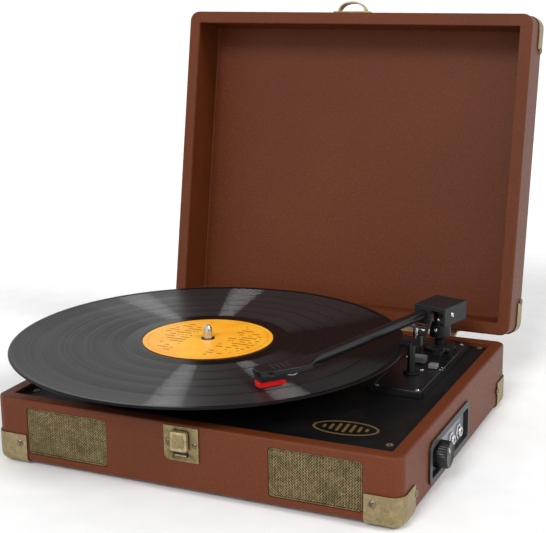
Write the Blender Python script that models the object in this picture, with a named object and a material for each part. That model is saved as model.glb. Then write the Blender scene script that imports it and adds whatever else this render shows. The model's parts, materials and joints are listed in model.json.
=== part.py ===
"""A suitcase record player: a wooden case with a hinged lid, a belt-driven platter with a
12-inch record on it, and a pivoted tonearm with a cue lever.

World frame: +X right, +Y towards the lid's hinge, +Z up, metres. The origin is the middle of
the case's flat underside. Heights in this file are from the floor under the feet: every piece
hangs from one empty, which is FOOT_H below the origin.
"""

import math

import bmesh
import bpy
from mathutils import Matrix, Vector

MM = 0.001
GAP = 0.3 * MM  # clearance kept between pieces that touch

# Case
CASE_W = 310 * MM
CASE_D = 261 * MM
CASE_R = 8 * MM
EDGE_R = 4 * MM  # lower edge of the case
LID_EDGE_R = 8 * MM  # upper edge of the closed lid
RIM_R = 1.5 * MM
WALL = 9.6 * MM
FOOT_H = 3 * MM
FOOT_R = 8 * MM
FOOT_X, FOOT_Y = 119 * MM, 95 * MM
RIM_Z = 51 * MM
BASE_Z = FOOT_H
DECK_TOP = 47.5 * MM
DECK_T = 3 * MM
BOTTOM_T = 3 * MM
CAP_T = 0.9 * MM  # corner cap sheet
CAP_SIDE = 25.5 * MM
CAP_HIGH = 21 * MM

# Lid, modelled closed on the case and turned open about its hinge
LID_D = 44 * MM
LID_PANEL = 4 * MM
LID_LEAN = math.radians(10.5)
HINGE_Y = CASE_D / 2 + 5.3 * MM
HINGE_Z = RIM_Z - 3.1 * MM
HINGE_X = 88 * MM
HINGE_LONG = 46 * MM

# Front and side fittings
GRILLE_X = 95.3 * MM
GRILLE_W = 66 * MM
GRILLE_H = 34.6 * MM
GRILLE_Z = 27.3 * MM
SPEAKER_Z = 26 * MM
LATCH_X = -2 * MM
LATCH_W = 26.4 * MM
LATCH_Z0, LATCH_Z1 = 24.7 * MM, 49.8 * MM
LEVER_Z = 40.2 * MM
KEEPER_W, KEEPER_TALL = 25 * MM, 9.5 * MM
HANDLE_Z = 38 * MM
HANDLE_HALF = 56 * MM
PANEL_Y0, PANEL_Y1 = -75 * MM, 21 * MM
PANEL_Z0, PANEL_Z1 = 8.5 * MM, 40 * MM
PANEL_FACE_X = CASE_W / 2 - 2.5 * MM
KNOB_Y, KNOB_Z = -50 * MM, 24 * MM
JACK_YS = (-16 * MM, 2 * MM)
JACK_Z = 21 * MM
DC_X, DC_Z = 30 * MM, 24 * MM

# Platter and record
SPIN_X, SPIN_Y = -41.4 * MM, -13 * MM
RECORD_R = 151 * MM
RECORD_TOP = RIM_Z + 22 * MM
GROOVE_TOP = RECORD_TOP - 0.4 * MM
RECORD_UNDER = RECORD_TOP - 1.8 * MM
LABEL_R = 50 * MM
SPINDLE_TALL = 11 * MM
PLATTER_R = 96 * MM
MAT_T = 1.5 * MM
PLATTER_TOP = RECORD_UNDER - 2 * GAP - MAT_T
SPINDLE_R = 3.55 * MM
BORE_R = SPINDLE_R + GAP
BELT_R = 52 * MM
PULLEY_R = 4 * MM
PULLEY_REACH = 72 * MM
PULLEY_TURN = math.radians(150)

# Tonearm, in a frame at its pivot whose +X runs along the tube
ARM_X, ARM_Y = 111.5 * MM, 92 * MM
ARM_TURN = math.radians(-104.6)
ARM_Z = RIM_Z + 31.8 * MM
TUBE_R = 4 * MM
TUBE_SIDE = -6.4 * MM
TUBE_END = 160 * MM
STYLUS_AT = 201 * MM
STYLUS_SIDE = -17.4 * MM
HEAD_TURN = math.radians(-26)
COVER_L, COVER_W, COVER_H = 33 * MM, 28 * MM, 15 * MM
COVER_TOP = ARM_Z + 7.5 * MM
PLATE_TOP = DECK_TOP + 4 * MM
PLATE_X0, PLATE_X1 = 88 * MM, 131 * MM
PLATE_Y0, PLATE_Y1 = -14 * MM, 114 * MM
REST_X, REST_Y = 109 * MM, 26.7 * MM
CLIP_OPEN = math.radians(110)
LIFT_TURN = math.radians(-119)
LIFT_REACH = 26.5 * MM
CUE_Y, CUE_Z = 72 * MM, 57.5 * MM
CUE_X = 123 * MM
SPEED_X, SPEED_Y = 106 * MM, 54 * MM
AUTOSTOP_X, AUTOSTOP_Y = 121 * MM, 44 * MM

COLOURS = {
    "leatherette": ((0.16, 0.045, 0.022), 0.55, 0.0),
    "brass": ((0.33, 0.28, 0.17), 0.35, 1.0),
    "grille_brass": ((0.22, 0.18, 0.09), 0.45, 0.8),
    "black_plastic": ((0.012, 0.012, 0.014), 0.4, 0.0),
    "deck_black": ((0.016, 0.016, 0.018), 0.6, 0.0),
    "rubber": ((0.015, 0.015, 0.015), 0.85, 0.0),
    "steel": ((0.6, 0.6, 0.62), 0.25, 1.0),
    "vinyl": ((0.008, 0.008, 0.009), 0.18, 0.0),
    "label": ((0.86, 0.4, 0.04), 0.5, 0.0),
    "stylus_red": ((0.5, 0.01, 0.012), 0.3, 0.0),
    "board": ((0.03, 0.14, 0.05), 0.5, 0.0),
    "panel_grey": ((0.22, 0.23, 0.25), 0.25, 0.0),
    "fibreboard": ((0.33, 0.22, 0.13), 0.8, 0.0),
    "switch_grey": ((0.2, 0.2, 0.2), 0.5, 0.0),
}


def clear_scene():
    for obj in list(bpy.data.objects):
        bpy.data.objects.remove(obj, do_unlink=True)


def material(name):
    found = bpy.data.materials.get(name)
    if found:
        return found
    colour, roughness, metallic = COLOURS[name]
    made = bpy.data.materials.new(name)
    made.use_nodes = True
    shader = made.node_tree.nodes["Principled BSDF"]
    shader.inputs["Base Color"].default_value = (*colour, 1)
    shader.inputs["Roughness"].default_value = roughness
    shader.inputs["Metallic"].default_value = metallic
    made.diffuse_color = (*colour, 1)
    return made


def hang_from(obj, parent):
    obj.parent = parent or bpy.data.objects["floor"]
    return obj


def place(name, bm, look, parent=None, smooth=True):
    """Makes the object, in its parent's frame, from a closed bmesh."""
    bmesh.ops.recalc_face_normals(bm, faces=bm.faces)
    mesh = bpy.data.meshes.new(name)
    bm.to_mesh(mesh)
    bm.free()
    if smooth:
        mesh.shade_smooth()
        mesh.set_sharp_from_angle(angle=math.radians(35))
    mesh.materials.append(material(look))
    obj = bpy.data.objects.new(name, mesh)
    bpy.context.scene.collection.objects.link(obj)
    return hang_from(obj, parent)


def axis(name, location, turn=(0, 0, 0), parent=None):
    """An empty on a joint's axis."""
    obj = bpy.data.objects.new(name, None)
    bpy.context.scene.collection.objects.link(obj)
    obj.location = location
    obj.rotation_euler = turn
    obj.empty_display_size = 0.02
    return hang_from(obj, parent)


def carve(obj, bm, operation="DIFFERENCE"):
    """Applies another shape to the object with a Boolean modifier."""
    cutter = place(f"{obj.name}_cutter{len(obj.modifiers)}", bm, "steel", obj.parent)
    cutter.hide_render = True
    cutter.display_type = "WIRE"
    step = obj.modifiers.new(operation.lower(), "BOOLEAN")
    step.operation = operation
    step.solver = "EXACT"
    step.object = cutter
    return obj


def bevel(obj, width, segments=2, angle=40):
    step = obj.modifiers.new("bevel", "BEVEL")
    step.width = width
    step.segments = segments
    step.limit_method = "ANGLE"
    step.angle_limit = math.radians(angle)
    step.use_clamp_overlap = True
    return obj


def block(x0, x1, y0, y1, z0, z1, bm=None):
    bm = bm or bmesh.new()
    size = (abs(x1 - x0), abs(y1 - y0), abs(z1 - z0))
    middle = ((x0 + x1) / 2, (y0 + y1) / 2, (z0 + z1) / 2)
    bmesh.ops.create_cube(bm, matrix=Matrix.LocRotScale(middle, None, size))
    return bm


def prism(outline, low, high, direction="Z"):
    """A solid between two copies of an outline; direction is the axis it is extruded along."""
    slot = "XYZ".index(direction)
    bm = bmesh.new()
    ends = []
    for w in (low, high):
        points = [[*point[:slot], w, *point[slot:]] for point in outline]
        ends.append([bm.verts.new(point) for point in points])
    bm.faces.new(ends[0])
    bm.faces.new(ends[1])
    for i in range(len(outline)):
        j = (i + 1) % len(outline)
        bm.faces.new((ends[0][i], ends[0][j], ends[1][j], ends[1][i]))
    return bm


def rounded(u0, u1, v0, v1, radius, steps=5):
    """A rectangle's outline with rounded corners."""
    corners = ((u1, v1, 0), (u0, v1, 1), (u0, v0, 2), (u1, v0, 3))
    points = []
    for u, v, quarter in corners:
        cu = u - radius if u == u1 else u + radius
        cv = v - radius if v == v1 else v + radius
        for i in range(steps + 1):
            a = math.pi / 2 * (quarter + i / steps)
            points.append((cu + radius * math.cos(a), cv + radius * math.sin(a)))
    return points


def circle(cx, cy, radius, steps=24, start=0.0, end=2 * math.pi):
    full = abs(end - start - 2 * math.pi) < 1e-9
    count = steps if full else steps + 1
    return [
        (cx + radius * math.cos(start + (end - start) * i / steps),
         cy + radius * math.sin(start + (end - start) * i / steps))
        for i in range(count)
    ]


def turned(profile, steps=48, centre=(0, 0, 0), direction="Z"):
    """A turned solid from (radius, height) points; a radius of 0 closes it on the axis."""
    bm = bmesh.new()
    rings = []
    for r, h in profile:
        if r == 0:
            rings.append([bm.verts.new((0, 0, h))])
            continue
        rings.append([bm.verts.new((*p, h)) for p in circle(0, 0, r, steps)])
    open_profile = profile[0][0] == 0
    pairs = list(zip(rings, rings[1:])) + ([] if open_profile else [(rings[-1], rings[0])])
    for a, b in pairs:
        for i in range(steps):
            j = (i + 1) % steps
            corners = [a[i % len(a)], a[j % len(a)], b[j % len(b)], b[i % len(b)]]
            corners = list(dict.fromkeys(corners))
            if len(corners) > 2:
                bm.faces.new(corners)
    quarter = {
        "X": Matrix.Rotation(math.pi / 2, 4, "Y"),
        "Y": Matrix.Rotation(-math.pi / 2, 4, "X"),
        "Z": Matrix(),
    }
    bmesh.ops.transform(bm, matrix=Matrix.Translation(centre) @ quarter[direction], verts=bm.verts)
    return bm


def rod(radius, a, b, steps=16):
    """A round bar from a to b."""
    a, b = Vector(a), Vector(b)
    bm = bmesh.new()
    turn = (b - a).to_track_quat("Z", "Y").to_matrix().to_4x4()
    bmesh.ops.create_cone(
        bm, cap_ends=True, segments=steps, radius1=radius, radius2=radius, depth=(b - a).length,
        matrix=Matrix.Translation((a + b) / 2) @ turn,
    )
    return bm


def case_loops(profile, steps=5):
    """Rings round the case's plan: each profile point is (distance in from the side, height)."""
    bm = bmesh.new()
    loops = []
    for inset, z in profile:
        half_w, half_d = CASE_W / 2 - inset, CASE_D / 2 - inset
        radius = max(CASE_R - inset, 1.5 * MM)
        outline = rounded(-half_w, half_w, -half_d, half_d, radius, steps)
        loops.append([bm.verts.new((x, y, z)) for x, y in outline])
    return bm, loops


def bridge(bm, a, b):
    for i in range(len(a)):
        j = (i + 1) % len(a)
        bm.faces.new((a[i], a[j], b[j], b[i]))


def edge_round(inset, z, radius, start, steps=3):
    """Profile points on a quarter round about (inset, z), from the angle start."""
    return [
        (inset - radius * math.cos(start + math.pi / 2 * i / steps),
         z + radius * math.sin(start + math.pi / 2 * i / steps))
        for i in range(steps + 1)
    ]


def case_ring(profile):
    """A closed band round the case's plan."""
    bm, loops = case_loops(profile)
    for a, b in zip(loops, loops[1:] + loops[:1]):
        bridge(bm, a, b)
    return bm


def case_tray(profile):
    """A solid whose first and last loops are filled, such as a lid or a full block."""
    bm, loops = case_loops(profile)
    for a, b in zip(loops, loops[1:]):
        bridge(bm, a, b)
    bm.faces.new(loops[0])
    bm.faces.new(loops[-1])
    return bm


def lower_block(grow, z1):
    """The case's outer block up to z1, grown outwards."""
    r = EDGE_R + grow
    return case_tray(edge_round(EDGE_R, BASE_Z - grow + r, r, -math.pi / 2) + [(-grow, z1)])


def base_corner(name, sx, sy):
    """A pressed sheet-metal cap round a lower corner of the case."""
    cap = place(name, lower_block(GAP + CAP_T, RIM_Z), "brass")
    carve(cap, lower_block(GAP, RIM_Z + 9 * MM))
    keep = block(sx * (CASE_W / 2 - CAP_SIDE), sx * (CASE_W / 2 + 5 * MM), sy * (CASE_D / 2 - CAP_SIDE),
                 sy * (CASE_D / 2 + 5 * MM), BASE_Z - 5 * MM, BASE_Z + CAP_HIGH)
    return carve(cap, keep, "INTERSECT")


def grille_outline(x, grow=0.0):
    half_w, half_h = GRILLE_W / 2 + grow, GRILLE_H / 2 + grow
    return rounded(x - half_w, x + half_w, GRILLE_Z - half_h, GRILLE_Z + half_h, 2.2 * MM + grow, 3)


def build_case():
    ledge = WALL + 5 * MM
    ledge_top = DECK_TOP - DECK_T - GAP
    profile = edge_round(EDGE_R, BASE_Z + EDGE_R, EDGE_R, -math.pi / 2)
    profile += edge_round(RIM_R, RIM_Z - RIM_R, RIM_R, 0, 2)
    profile += [(WALL, RIM_Z), (WALL, ledge_top), (ledge, ledge_top), (ledge, ledge_top - 3 * MM)]
    profile += [(WALL, ledge_top - 3 * MM), (WALL, BASE_Z)]
    case = place("base_case", case_ring(profile), "leatherette")
    front = -CASE_D / 2
    for x in (-GRILLE_X, GRILLE_X):
        recess = grille_outline(x, GAP)
        carve(case, prism(recess, front - 5 * MM, front + 1.8 * MM, "Y"))
        carve(case, block(x - 28 * MM, x + 28 * MM, front - 5 * MM, front + 12 * MM,
                          GRILLE_Z - 13.5 * MM, GRILLE_Z + 11 * MM))
    carve(case, block(CASE_W / 2 - 12 * MM, CASE_W / 2 + 5 * MM, PANEL_Y0 + 3 * MM, PANEL_Y1 - 3 * MM,
                      PANEL_Z0 + 3 * MM, PANEL_Z1 - 3.5 * MM))
    back = CASE_D / 2
    carve(case, prism(circle(DC_X, DC_Z, 4 * MM, 16), back - WALL - 3 * MM, back + 3 * MM, "Y"))
    half_w, half_d = CASE_W / 2 - WALL - GAP, CASE_D / 2 - WALL - GAP
    bottom = place("base_bottom", prism(rounded(-half_w, half_w, -half_d, half_d, 1.2 * MM, 2),
                                        BASE_Z, BASE_Z + BOTTOM_T), "fibreboard", smooth=False)
    for sx, side in ((-1, "left"), (1, "right")):
        for sy, end in ((-1, "front"), (1, "rear")):
            # A push-in foot: its neck fills a hole in the board and its flange sits inside.
            carve(bottom, prism(circle(sx * FOOT_X, sy * FOOT_Y, FOOT_R + GAP, 20),
                                BASE_Z - 5 * MM, BASE_Z + 15 * MM))
            inside, flange = BASE_Z + BOTTOM_T + GAP, FOOT_R + 2.5 * MM
            foot = [(0, 0), (FOOT_R - 1 * MM, 0), (FOOT_R, 1 * MM), (FOOT_R, inside), (flange, inside),
                    (flange - 0.5 * MM, inside + 1.5 * MM), (0, inside + 1.5 * MM)]
            place(f"foot_{end}_{side}", turned(foot, 20, (sx * FOOT_X, sy * FOOT_Y, 0)), "rubber")
            base_corner(f"base_corner_{end}_{side}", sx, sy)


def build_deck():
    half_w, half_d = CASE_W / 2 - WALL - GAP, CASE_D / 2 - WALL - GAP
    deck = place("deck_plate", prism(rounded(-half_w, half_w, -half_d, half_d, 1.2 * MM, 2),
                                     DECK_TOP - DECK_T, DECK_TOP), "deck_black", smooth=False)
    for x, y, radius in ((SPIN_X, SPIN_Y, 7 * MM), (*pulley_place(), 5.5 * MM)):
        carve(deck, prism(circle(x, y, radius, 20), DECK_TOP - 9 * MM, DECK_TOP + 5 * MM))


def build_grilles_and_speakers():
    front = -CASE_D / 2
    back = front + WALL + GAP
    half_w, half_h = 33 * MM, 14.6 * MM
    for x, side in ((-GRILLE_X, "left"), (GRILLE_X, "right")):
        place(f"grille_{side}", prism(grille_outline(x), front + 0.4 * MM, front + 1.5 * MM, "Y"),
              "grille_brass")
        frame = rounded(x - half_w, x + half_w, SPEAKER_Z - half_h, SPEAKER_Z + half_h, 6 * MM, 4)
        speaker = place(f"speaker_{side}", prism(frame, back, back + 2 * MM, "Y"), "black_plastic")
        basket = [(0, 0.5 * MM), (14.2 * MM, 0.5 * MM), (13 * MM, 13.5 * MM), (13 * MM, 23.5 * MM),
                  (0, 23.5 * MM)]
        carve(speaker, turned(basket, 24, (x, back, SPEAKER_Z), "Y"), "UNION")
        dish = [(0, -20 * MM), (12.6 * MM, -20 * MM), (12.6 * MM, 0.6 * MM), (5 * MM, 7.6 * MM),
                (0, 7.6 * MM)]
        carve(speaker, turned(dish, 24, (x, back, SPEAKER_Z), "Y"))


def build_latch():
    front = -CASE_D / 2 - GAP
    left, right = LATCH_X - LATCH_W / 2, LATCH_X + LATCH_W / 2
    outline = [(left, LATCH_Z0 + 3 * MM), (left + 3 * MM, LATCH_Z0), (right, LATCH_Z0), (right, LATCH_Z1),
               (left, LATCH_Z1)]
    plate = place("latch_plate", prism(outline, front - 1.2 * MM, front, "Y"), "brass", smooth=False)
    carve(plate, block(LATCH_X - 5.5 * MM, LATCH_X + 5.5 * MM, front - 5 * MM, front + 5 * MM,
                       28.4 * MM, 31.6 * MM))
    slide = axis("latch_slide", (LATCH_X, front - 1.2 * MM - GAP, LEVER_Z))
    lever = rounded(-6.5 * MM, 6.5 * MM, -7.2 * MM, 7.2 * MM, 1.5 * MM, 2)
    bevel(place("latch_lever", prism(lever, -4 * MM, 0, "Y"), "brass", slide), 0.8 * MM)


def panel_outline(inset, low_lip, radius):
    return rounded(PANEL_Y0 + inset, PANEL_Y1 - inset, PANEL_Z0 + inset, PANEL_Z1 - inset - low_lip,
                   radius)


def build_control_panel():
    face = PANEL_FACE_X
    side = CASE_W / 2
    panel = place("control_panel", prism(panel_outline(0, 0, 7 * MM), side + GAP, side + 1.5 * MM, "X"),
                  "panel_grey")
    carve(panel, prism(panel_outline(3.4 * MM, 0.5 * MM, 4 * MM), face - 1.5 * MM, side + 1 * MM, "X"),
          "UNION")
    carve(panel, prism(panel_outline(4.6 * MM, 0.5 * MM, 3 * MM), face, side + 9 * MM, "X"))
    holes = [(y, JACK_Z, 4.3 * MM) for y in JACK_YS] + [(KNOB_Y, KNOB_Z, 3.6 * MM)]
    for y, z, radius in holes:
        carve(panel, prism(circle(y, z, radius, 20), face - 9 * MM, face + 9 * MM, "X"))
    pot = [(0, -12 * MM), (8 * MM, -12 * MM), (8 * MM, -2 * MM), (3 * MM, -2 * MM), (3 * MM, 6 * MM),
           (0, 6 * MM)]
    place("volume_pot", turned(pot, 24, (face, KNOB_Y, KNOB_Z), "X"), "steel")
    turn = axis("volume_axis", (face, KNOB_Y, KNOB_Z))
    knob = [(0, 10.5 * MM), (8.6 * MM, 10.5 * MM), (9.6 * MM, 9.5 * MM), (10 * MM, 0.5 * MM),
            (3.3 * MM, 0.5 * MM), (3.3 * MM, 6.4 * MM), (0, 6.4 * MM)]
    place("volume_knob", turned(knob, 36, direction="X"), "black_plastic", turn)
    barrel = [(1.8 * MM, 3.4 * MM), (3.2 * MM, 3.4 * MM), (4 * MM, 2.6 * MM), (4 * MM, -9 * MM),
              (1.8 * MM, -9 * MM)]
    for name, y in zip(("aux_jack", "headphone_jack"), JACK_YS):
        place(name, turned(barrel, 24, (face, y, JACK_Z), "X"), "steel")
    place("amplifier_board", block(62 * MM, 134 * MM, -40 * MM, 40 * MM, 9 * MM, 10.6 * MM), "board",
          smooth=False)
    socket = [(0, -12 * MM), (3.7 * MM, -12 * MM), (3.7 * MM, GAP), (5.5 * MM, GAP), (5.5 * MM, 1.5 * MM),
              (3.1 * MM, 1.5 * MM), (3.1 * MM, -8 * MM), (1 * MM, -8 * MM), (1 * MM, 0), (0, 0)]
    place("dc_jack", turned(socket, 20, (DC_X, CASE_D / 2, DC_Z), "Y"), "black_plastic")


def lid_axis():
    """The empty on the hinge pin: its children are the closed lid, about the pin."""
    return bpy.data.objects["lid_hinge_axis"]


def about_hinge(bm):
    """Moves a shape from the closed lid's place in the case to the hinge empty's frame."""
    bmesh.ops.transform(bm, matrix=Matrix.Translation((0, -HINGE_Y, -HINGE_Z)), verts=bm.verts)
    return bm


def hang(name, bm, look, smooth=True):
    return place(name, about_hinge(bm), look, lid_axis(), smooth)


def build_lid():
    axis("lid_hinge_axis", (0, HINGE_Y, HINGE_Z), (-math.pi / 2 - LID_LEAN, 0, 0))
    top = RIM_Z + LID_D
    profile = [(WALL + 0.8 * MM, top - LID_PANEL), (WALL, top - LID_PANEL - 1 * MM), (WALL, RIM_Z)]
    profile += edge_round(RIM_R, RIM_Z + RIM_R, RIM_R, -math.pi / 2, 2)
    profile += edge_round(LID_EDGE_R, top - LID_EDGE_R, LID_EDGE_R, 0, 4)
    hang("lid_shell", case_tray(profile), "leatherette")
    for sx, side in ((-1, "left"), (1, "right")):
        for sy, end in ((-1, "front"), (1, "rear")):
            lid_corner(f"lid_corner_{end}_{side}", sx, sy)
    build_keeper()
    build_hinges()


def upper_block(grow, z0):
    """The closed lid's outer block from z0 up, grown outwards."""
    r = LID_EDGE_R + grow
    return case_tray([(-grow, z0)] + edge_round(LID_EDGE_R, RIM_Z + LID_D + grow - r, r, 0, 4))


def lid_corner(name, sx, sy):
    """A sheet cap on an upper corner of the closed lid."""
    top = RIM_Z + LID_D
    cap = hang(name, upper_block(GAP + CAP_T, RIM_Z), "brass")
    carve(cap, about_hinge(upper_block(GAP, RIM_Z - 9 * MM)))
    keep = block(sx * (CASE_W / 2 - CAP_SIDE), sx * (CASE_W / 2 + 5 * MM), sy * (CASE_D / 2 - CAP_SIDE),
                 sy * (CASE_D / 2 + 5 * MM), top - CAP_HIGH, top + 5 * MM)
    carve(cap, about_hinge(keep), "INTERSECT")


def half_ellipse(half, tall, steps=12):
    return [(half * c, tall * s) for c, s in circle(0, 0, 1, steps, 0.0, math.pi)]


def build_keeper():
    """The arched catch on the lid's front rim, on a flat strip."""
    half = KEEPER_W / 2
    strip, strap, tab = 1.2 * MM, 1.2 * MM, 4 * MM
    arch = half_ellipse(half, KEEPER_TALL - strip)
    hole = half_ellipse(half - strap, KEEPER_TALL - strip - strap)
    outer = [(half + tab, 0), (half + tab, strip)] + [(u, strip + v) for u, v in arch]
    outer += [(-half - tab, strip), (-half - tab, 0)]

    def sheet(points, z0, z1):
        front = -CASE_D / 2 - GAP
        return about_hinge(prism([(LATCH_X + u, front - v) for u, v in points], z0, z1))

    keeper = place("latch_keeper", sheet(outer, RIM_Z + 4 * MM, RIM_Z + 12 * MM), "brass", lid_axis())
    carve(keeper, sheet([(u, strip + v) for u, v in hole], RIM_Z - 5 * MM, RIM_Z + 20 * MM))


def build_hinges():
    """Two butt hinges on the back: a lower leaf with the middle knuckle, an upper leaf with the pin."""
    back = CASE_D / 2 + GAP
    leaf = back + 1.2 * MM
    third = HINGE_LONG / 3
    for x, side in ((-HINGE_X, "left"), (HINGE_X, "right")):
        x0, x1 = x - HINGE_LONG / 2, x + HINGE_LONG / 2
        knuckle = circle(HINGE_Y, HINGE_Z, 2.6 * MM, 16)
        lower = place(f"hinge_lower_{side}", block(x0, x1, back, leaf, HINGE_Z - 22 * MM,
                                                   HINGE_Z - 4 * MM),
                      "brass", smooth=False)
        neck = [(back, HINGE_Z - 5 * MM), (leaf, HINGE_Z - 5 * MM), (HINGE_Y + 1 * MM, HINGE_Z - 1 * MM),
                (HINGE_Y - 1 * MM, HINGE_Z + 1 * MM)]
        a, b = x - third / 2 + GAP, x + third / 2 - GAP
        carve(lower, prism(neck, a, b, "X"), "UNION")
        carve(lower, prism(knuckle, a, b, "X"), "UNION")
        carve(lower, prism(circle(HINGE_Y, HINGE_Z, 1.4 * MM, 16), x0, x1, "X"))
        upper = hang(f"hinge_upper_{side}", block(x0, x1, back, leaf, RIM_Z + 2 * MM, RIM_Z + 20 * MM),
                     "brass",
                     smooth=False)
        neck = [(back, RIM_Z + 3 * MM), (leaf, RIM_Z + 4 * MM), (HINGE_Y + 1 * MM, HINGE_Z + 1 * MM),
                (HINGE_Y - 1.6 * MM, HINGE_Z - 0.5 * MM)]
        for u, v in ((x0, x - third / 2 - GAP), (x + third / 2 + GAP, x1)):
            carve(upper, about_hinge(prism(neck, u, v, "X")), "UNION")
            carve(upper, about_hinge(prism(knuckle, u, v, "X")), "UNION")
        pin = circle(HINGE_Y, HINGE_Z, 1.1 * MM, 16)
        carve(upper, about_hinge(prism(pin, x0 + 1 * MM, x1 - 1 * MM, "X")), "UNION")


def build_handle():
    """A carrying handle on the left side, folded down against the case."""
    side = -CASE_W / 2 - GAP
    pivot_x, pivot_z = side - 5 * MM, HANDLE_Z
    half = HANDLE_HALF
    for sy, end in ((-1, "front"), (1, "rear")):
        y = sy * half
        bracket = place(f"handle_bracket_{end}", block(side - 1.5 * MM, side, y - 9 * MM, y + 9 * MM,
                                                       pivot_z - 10 * MM, pivot_z + 8 * MM), "brass",
                        smooth=False)
        y0, y1 = sorted((y + sy * 2 * MM, y + sy * 6 * MM))
        carve(bracket, block(side - 8 * MM, side - 1 * MM, y0, y1, pivot_z - 4 * MM, pivot_z + 4 * MM),
              "UNION")
        carve(bracket, prism(circle(pivot_x, pivot_z, 1.7 * MM, 16), y0 - 5 * MM, y1 + 5 * MM, "Y"))
    swing = axis("handle_axis", (pivot_x, 0, pivot_z))
    reach, low, top, leg = half + 0.5 * MM, -22 * MM, 0.4 * MM, 6.5 * MM
    right = [(reach, low + 8 * MM), (reach, top), (reach - leg, top), (reach - leg, low + 12 * MM),
             (reach - 10 * MM, low + 8.5 * MM)]
    left = [(-y, z) for y, z in reversed(right)]
    outline = [(reach - 8 * MM, low)] + right + left + [(-reach + 8 * MM, low)]
    grip = place("handle", prism(outline, -3.2 * MM, 3.2 * MM, "X"), "leatherette", swing)
    for sy in (-1, 1):
        y0, y1 = sorted((sy * (reach - leg + 0.2 * MM), sy * (reach - 0.2 * MM)))
        carve(grip, prism(circle(0, 0, 3.1 * MM, 24, 0.05, 2 * math.pi + 0.05), y0, y1, "Y"), "UNION")
        y0, y1 = sorted((sy * (half - 1 * MM), sy * (half + 6 * MM)))
        carve(grip, prism(circle(0, 0, 1.4 * MM, 16), y0, y1, "Y"), "UNION")


def pulley_place():
    return (SPIN_X + PULLEY_REACH * math.cos(PULLEY_TURN), SPIN_Y + PULLEY_REACH * math.sin(PULLEY_TURN))


def belt_outline(platter_r, pulley_r):
    """The loop of a belt round the platter's drive rim and the motor's pulley."""
    px, py = pulley_place()
    open_angle = math.acos((platter_r - pulley_r) / PULLEY_REACH)
    big = circle(SPIN_X, SPIN_Y, platter_r, 40, PULLEY_TURN + open_angle,
                 PULLEY_TURN + 2 * math.pi - open_angle)
    small = circle(px, py, pulley_r, 8, PULLEY_TURN - open_angle, PULLEY_TURN + open_angle)
    return big + small


def build_platter():
    spin = axis("platter_axis", (SPIN_X, SPIN_Y, 0))
    top = PLATTER_TOP
    skirt = 52 * MM
    under = top - 2.5 * MM
    profile = [(BORE_R, top), (PLATTER_R - 1 * MM, top), (PLATTER_R, top - 1 * MM), (PLATTER_R, skirt),
               (PLATTER_R - 2.5 * MM, skirt), (PLATTER_R - 2.5 * MM, under), (BELT_R, under),
               (BELT_R, 58 * MM), (BELT_R - 2.5 * MM, 58 * MM), (BELT_R - 2.5 * MM, under),
               (9 * MM, under), (9 * MM, 56 * MM),
               (BORE_R, 56 * MM)]
    place("platter", turned(profile, 72), "black_plastic", spin)
    mat0, mat1 = top + GAP, top + GAP + MAT_T
    place("platter_mat", turned([(BORE_R, mat1), (94 * MM, mat1), (94 * MM, mat0), (BORE_R, mat0)], 64),
          "rubber", spin)
    low, high = RECORD_UNDER, RECORD_TOP
    pit = LABEL_R + 0.4 * MM
    disc = [(BORE_R, high - 0.5 * MM), (pit, high - 0.5 * MM), (pit + 0.3 * MM, GROOVE_TOP),
            (RECORD_R - 5 * MM, GROOVE_TOP), (RECORD_R - 2 * MM, high),
            (RECORD_R - 0.5 * MM, high - 0.2 * MM),
            (RECORD_R, high - 0.8 * MM), (RECORD_R - 0.7 * MM, low + 0.2 * MM), (RECORD_R - 2 * MM, low),
            (BORE_R, low)]
    place("record", turned(disc, 96), "vinyl", spin)
    label = [(BORE_R, high + 0.1 * MM), (LABEL_R, high + 0.1 * MM), (LABEL_R, high - 0.2 * MM),
             (BORE_R, high - 0.2 * MM)]
    place("record_label", turned(label, 64), "label", spin)
    shaft = [(0, high + SPINDLE_TALL), (1.6 * MM, high + SPINDLE_TALL - 0.4 * MM),
             (SPINDLE_R - 0.4 * MM, high + SPINDLE_TALL - 2.5 * MM),
             (SPINDLE_R, high + 6 * MM), (SPINDLE_R, 22 * MM), (0, 22 * MM)]
    place("spindle", turned(shaft, 24), "steel", spin)
    bush = [(BORE_R, 55.6 * MM), (6.4 * MM, 55.6 * MM), (6.4 * MM, 50 * MM), (12 * MM, 50 * MM),
            (12 * MM, DECK_TOP + GAP), (6.4 * MM, DECK_TOP + GAP), (6.4 * MM, 24 * MM), (BORE_R, 24 * MM)]
    place("bearing_bush", turned(bush, 24, (SPIN_X, SPIN_Y, 0)), "steel")
    px, py = pulley_place()
    pulley_axis = axis("pulley_axis", (px, py, 0))
    flange = PULLEY_R + 1 * MM
    wheel = [(0, 65 * MM), (flange, 65 * MM), (flange, 64 * MM), (PULLEY_R, 63.6 * MM),
             (PULLEY_R, 59.8 * MM), (flange, 59.4 * MM), (flange, 58.4 * MM), (1.2 * MM, 58.4 * MM),
             (1.2 * MM, 34 * MM), (0, 34 * MM)]
    place("motor_pulley", turned(wheel, 20), "steel", pulley_axis)
    can = [(0, 30 * MM), (1.6 * MM, 30 * MM), (1.6 * MM, 44 * MM), (15.5 * MM, 44 * MM),
           (16 * MM, 43.5 * MM),
           (16 * MM, 19 * MM), (0, 19 * MM)]
    place("motor_can", turned(can, 28, (px, py, 0)), "steel")
    thick = 0.6 * MM
    outer = belt_outline(BELT_R + GAP + thick, PULLEY_R + GAP + thick)
    belt = place("drive_belt", prism(outer, 60 * MM, 63.4 * MM), "rubber", smooth=False)
    carve(belt, prism(belt_outline(BELT_R + GAP, PULLEY_R + GAP), 50 * MM, 70 * MM))


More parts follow.
